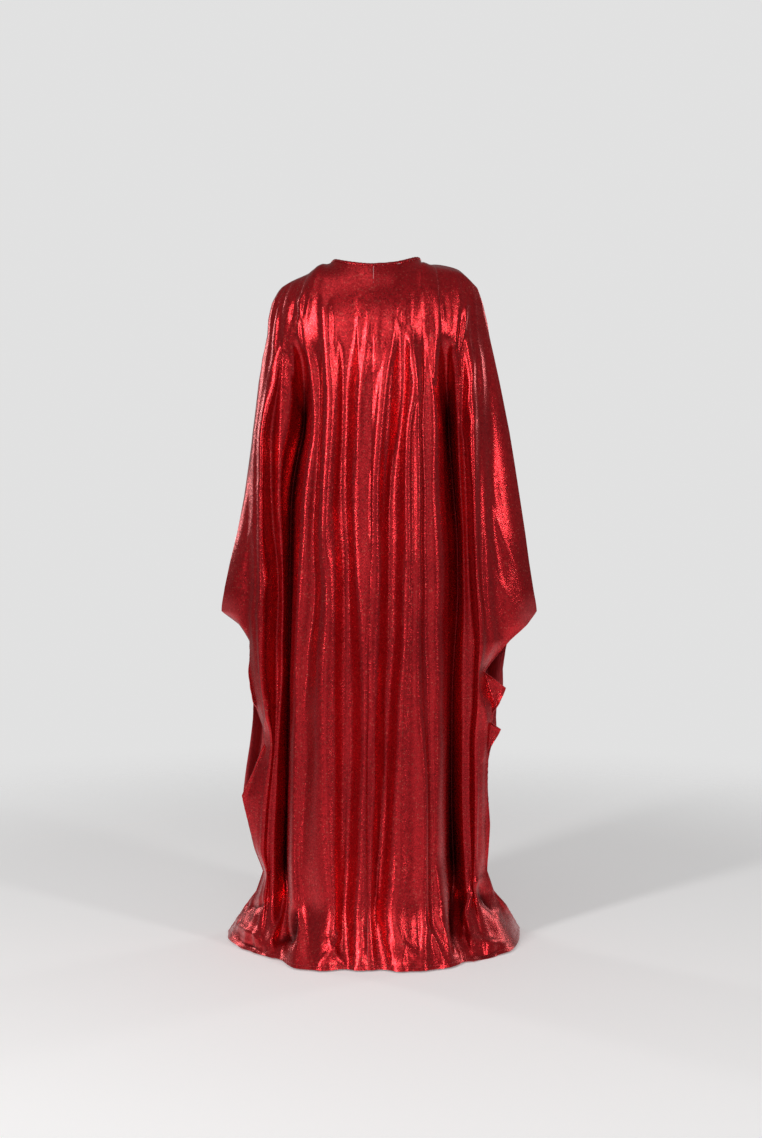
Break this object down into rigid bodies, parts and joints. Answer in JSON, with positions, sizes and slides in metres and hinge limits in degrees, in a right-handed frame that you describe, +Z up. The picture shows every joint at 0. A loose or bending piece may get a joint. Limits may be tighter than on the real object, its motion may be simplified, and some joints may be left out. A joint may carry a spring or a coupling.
{
  "type": "butterfly abaya",
  "caption": "Full-length loose robe with wide wing sleeves that fall from the shoulders to low wrist corners, worn and hanging to the floor in deep folds.",
  "frame": {"origin": "middle of the line between the two shoulder points, where the wearer holds the garment", "axes": "+Z up, -Y out of the front of the garment, +X towards the wearer's left"},
  "size_m": [0.6814, 0.4873, 1.4834],
  "materials": {
    "cloth": "foil-printed metallic woven cloth, deep red",
    "binding": "the same cloth folded over and stitched"
  },
  "bodies": {
    "root": {"back_left": "cloth", "back_right": "cloth", "front_left": "cloth", "front_right": "cloth", "neck_binding": "binding"}
  },
  "joints": []
}
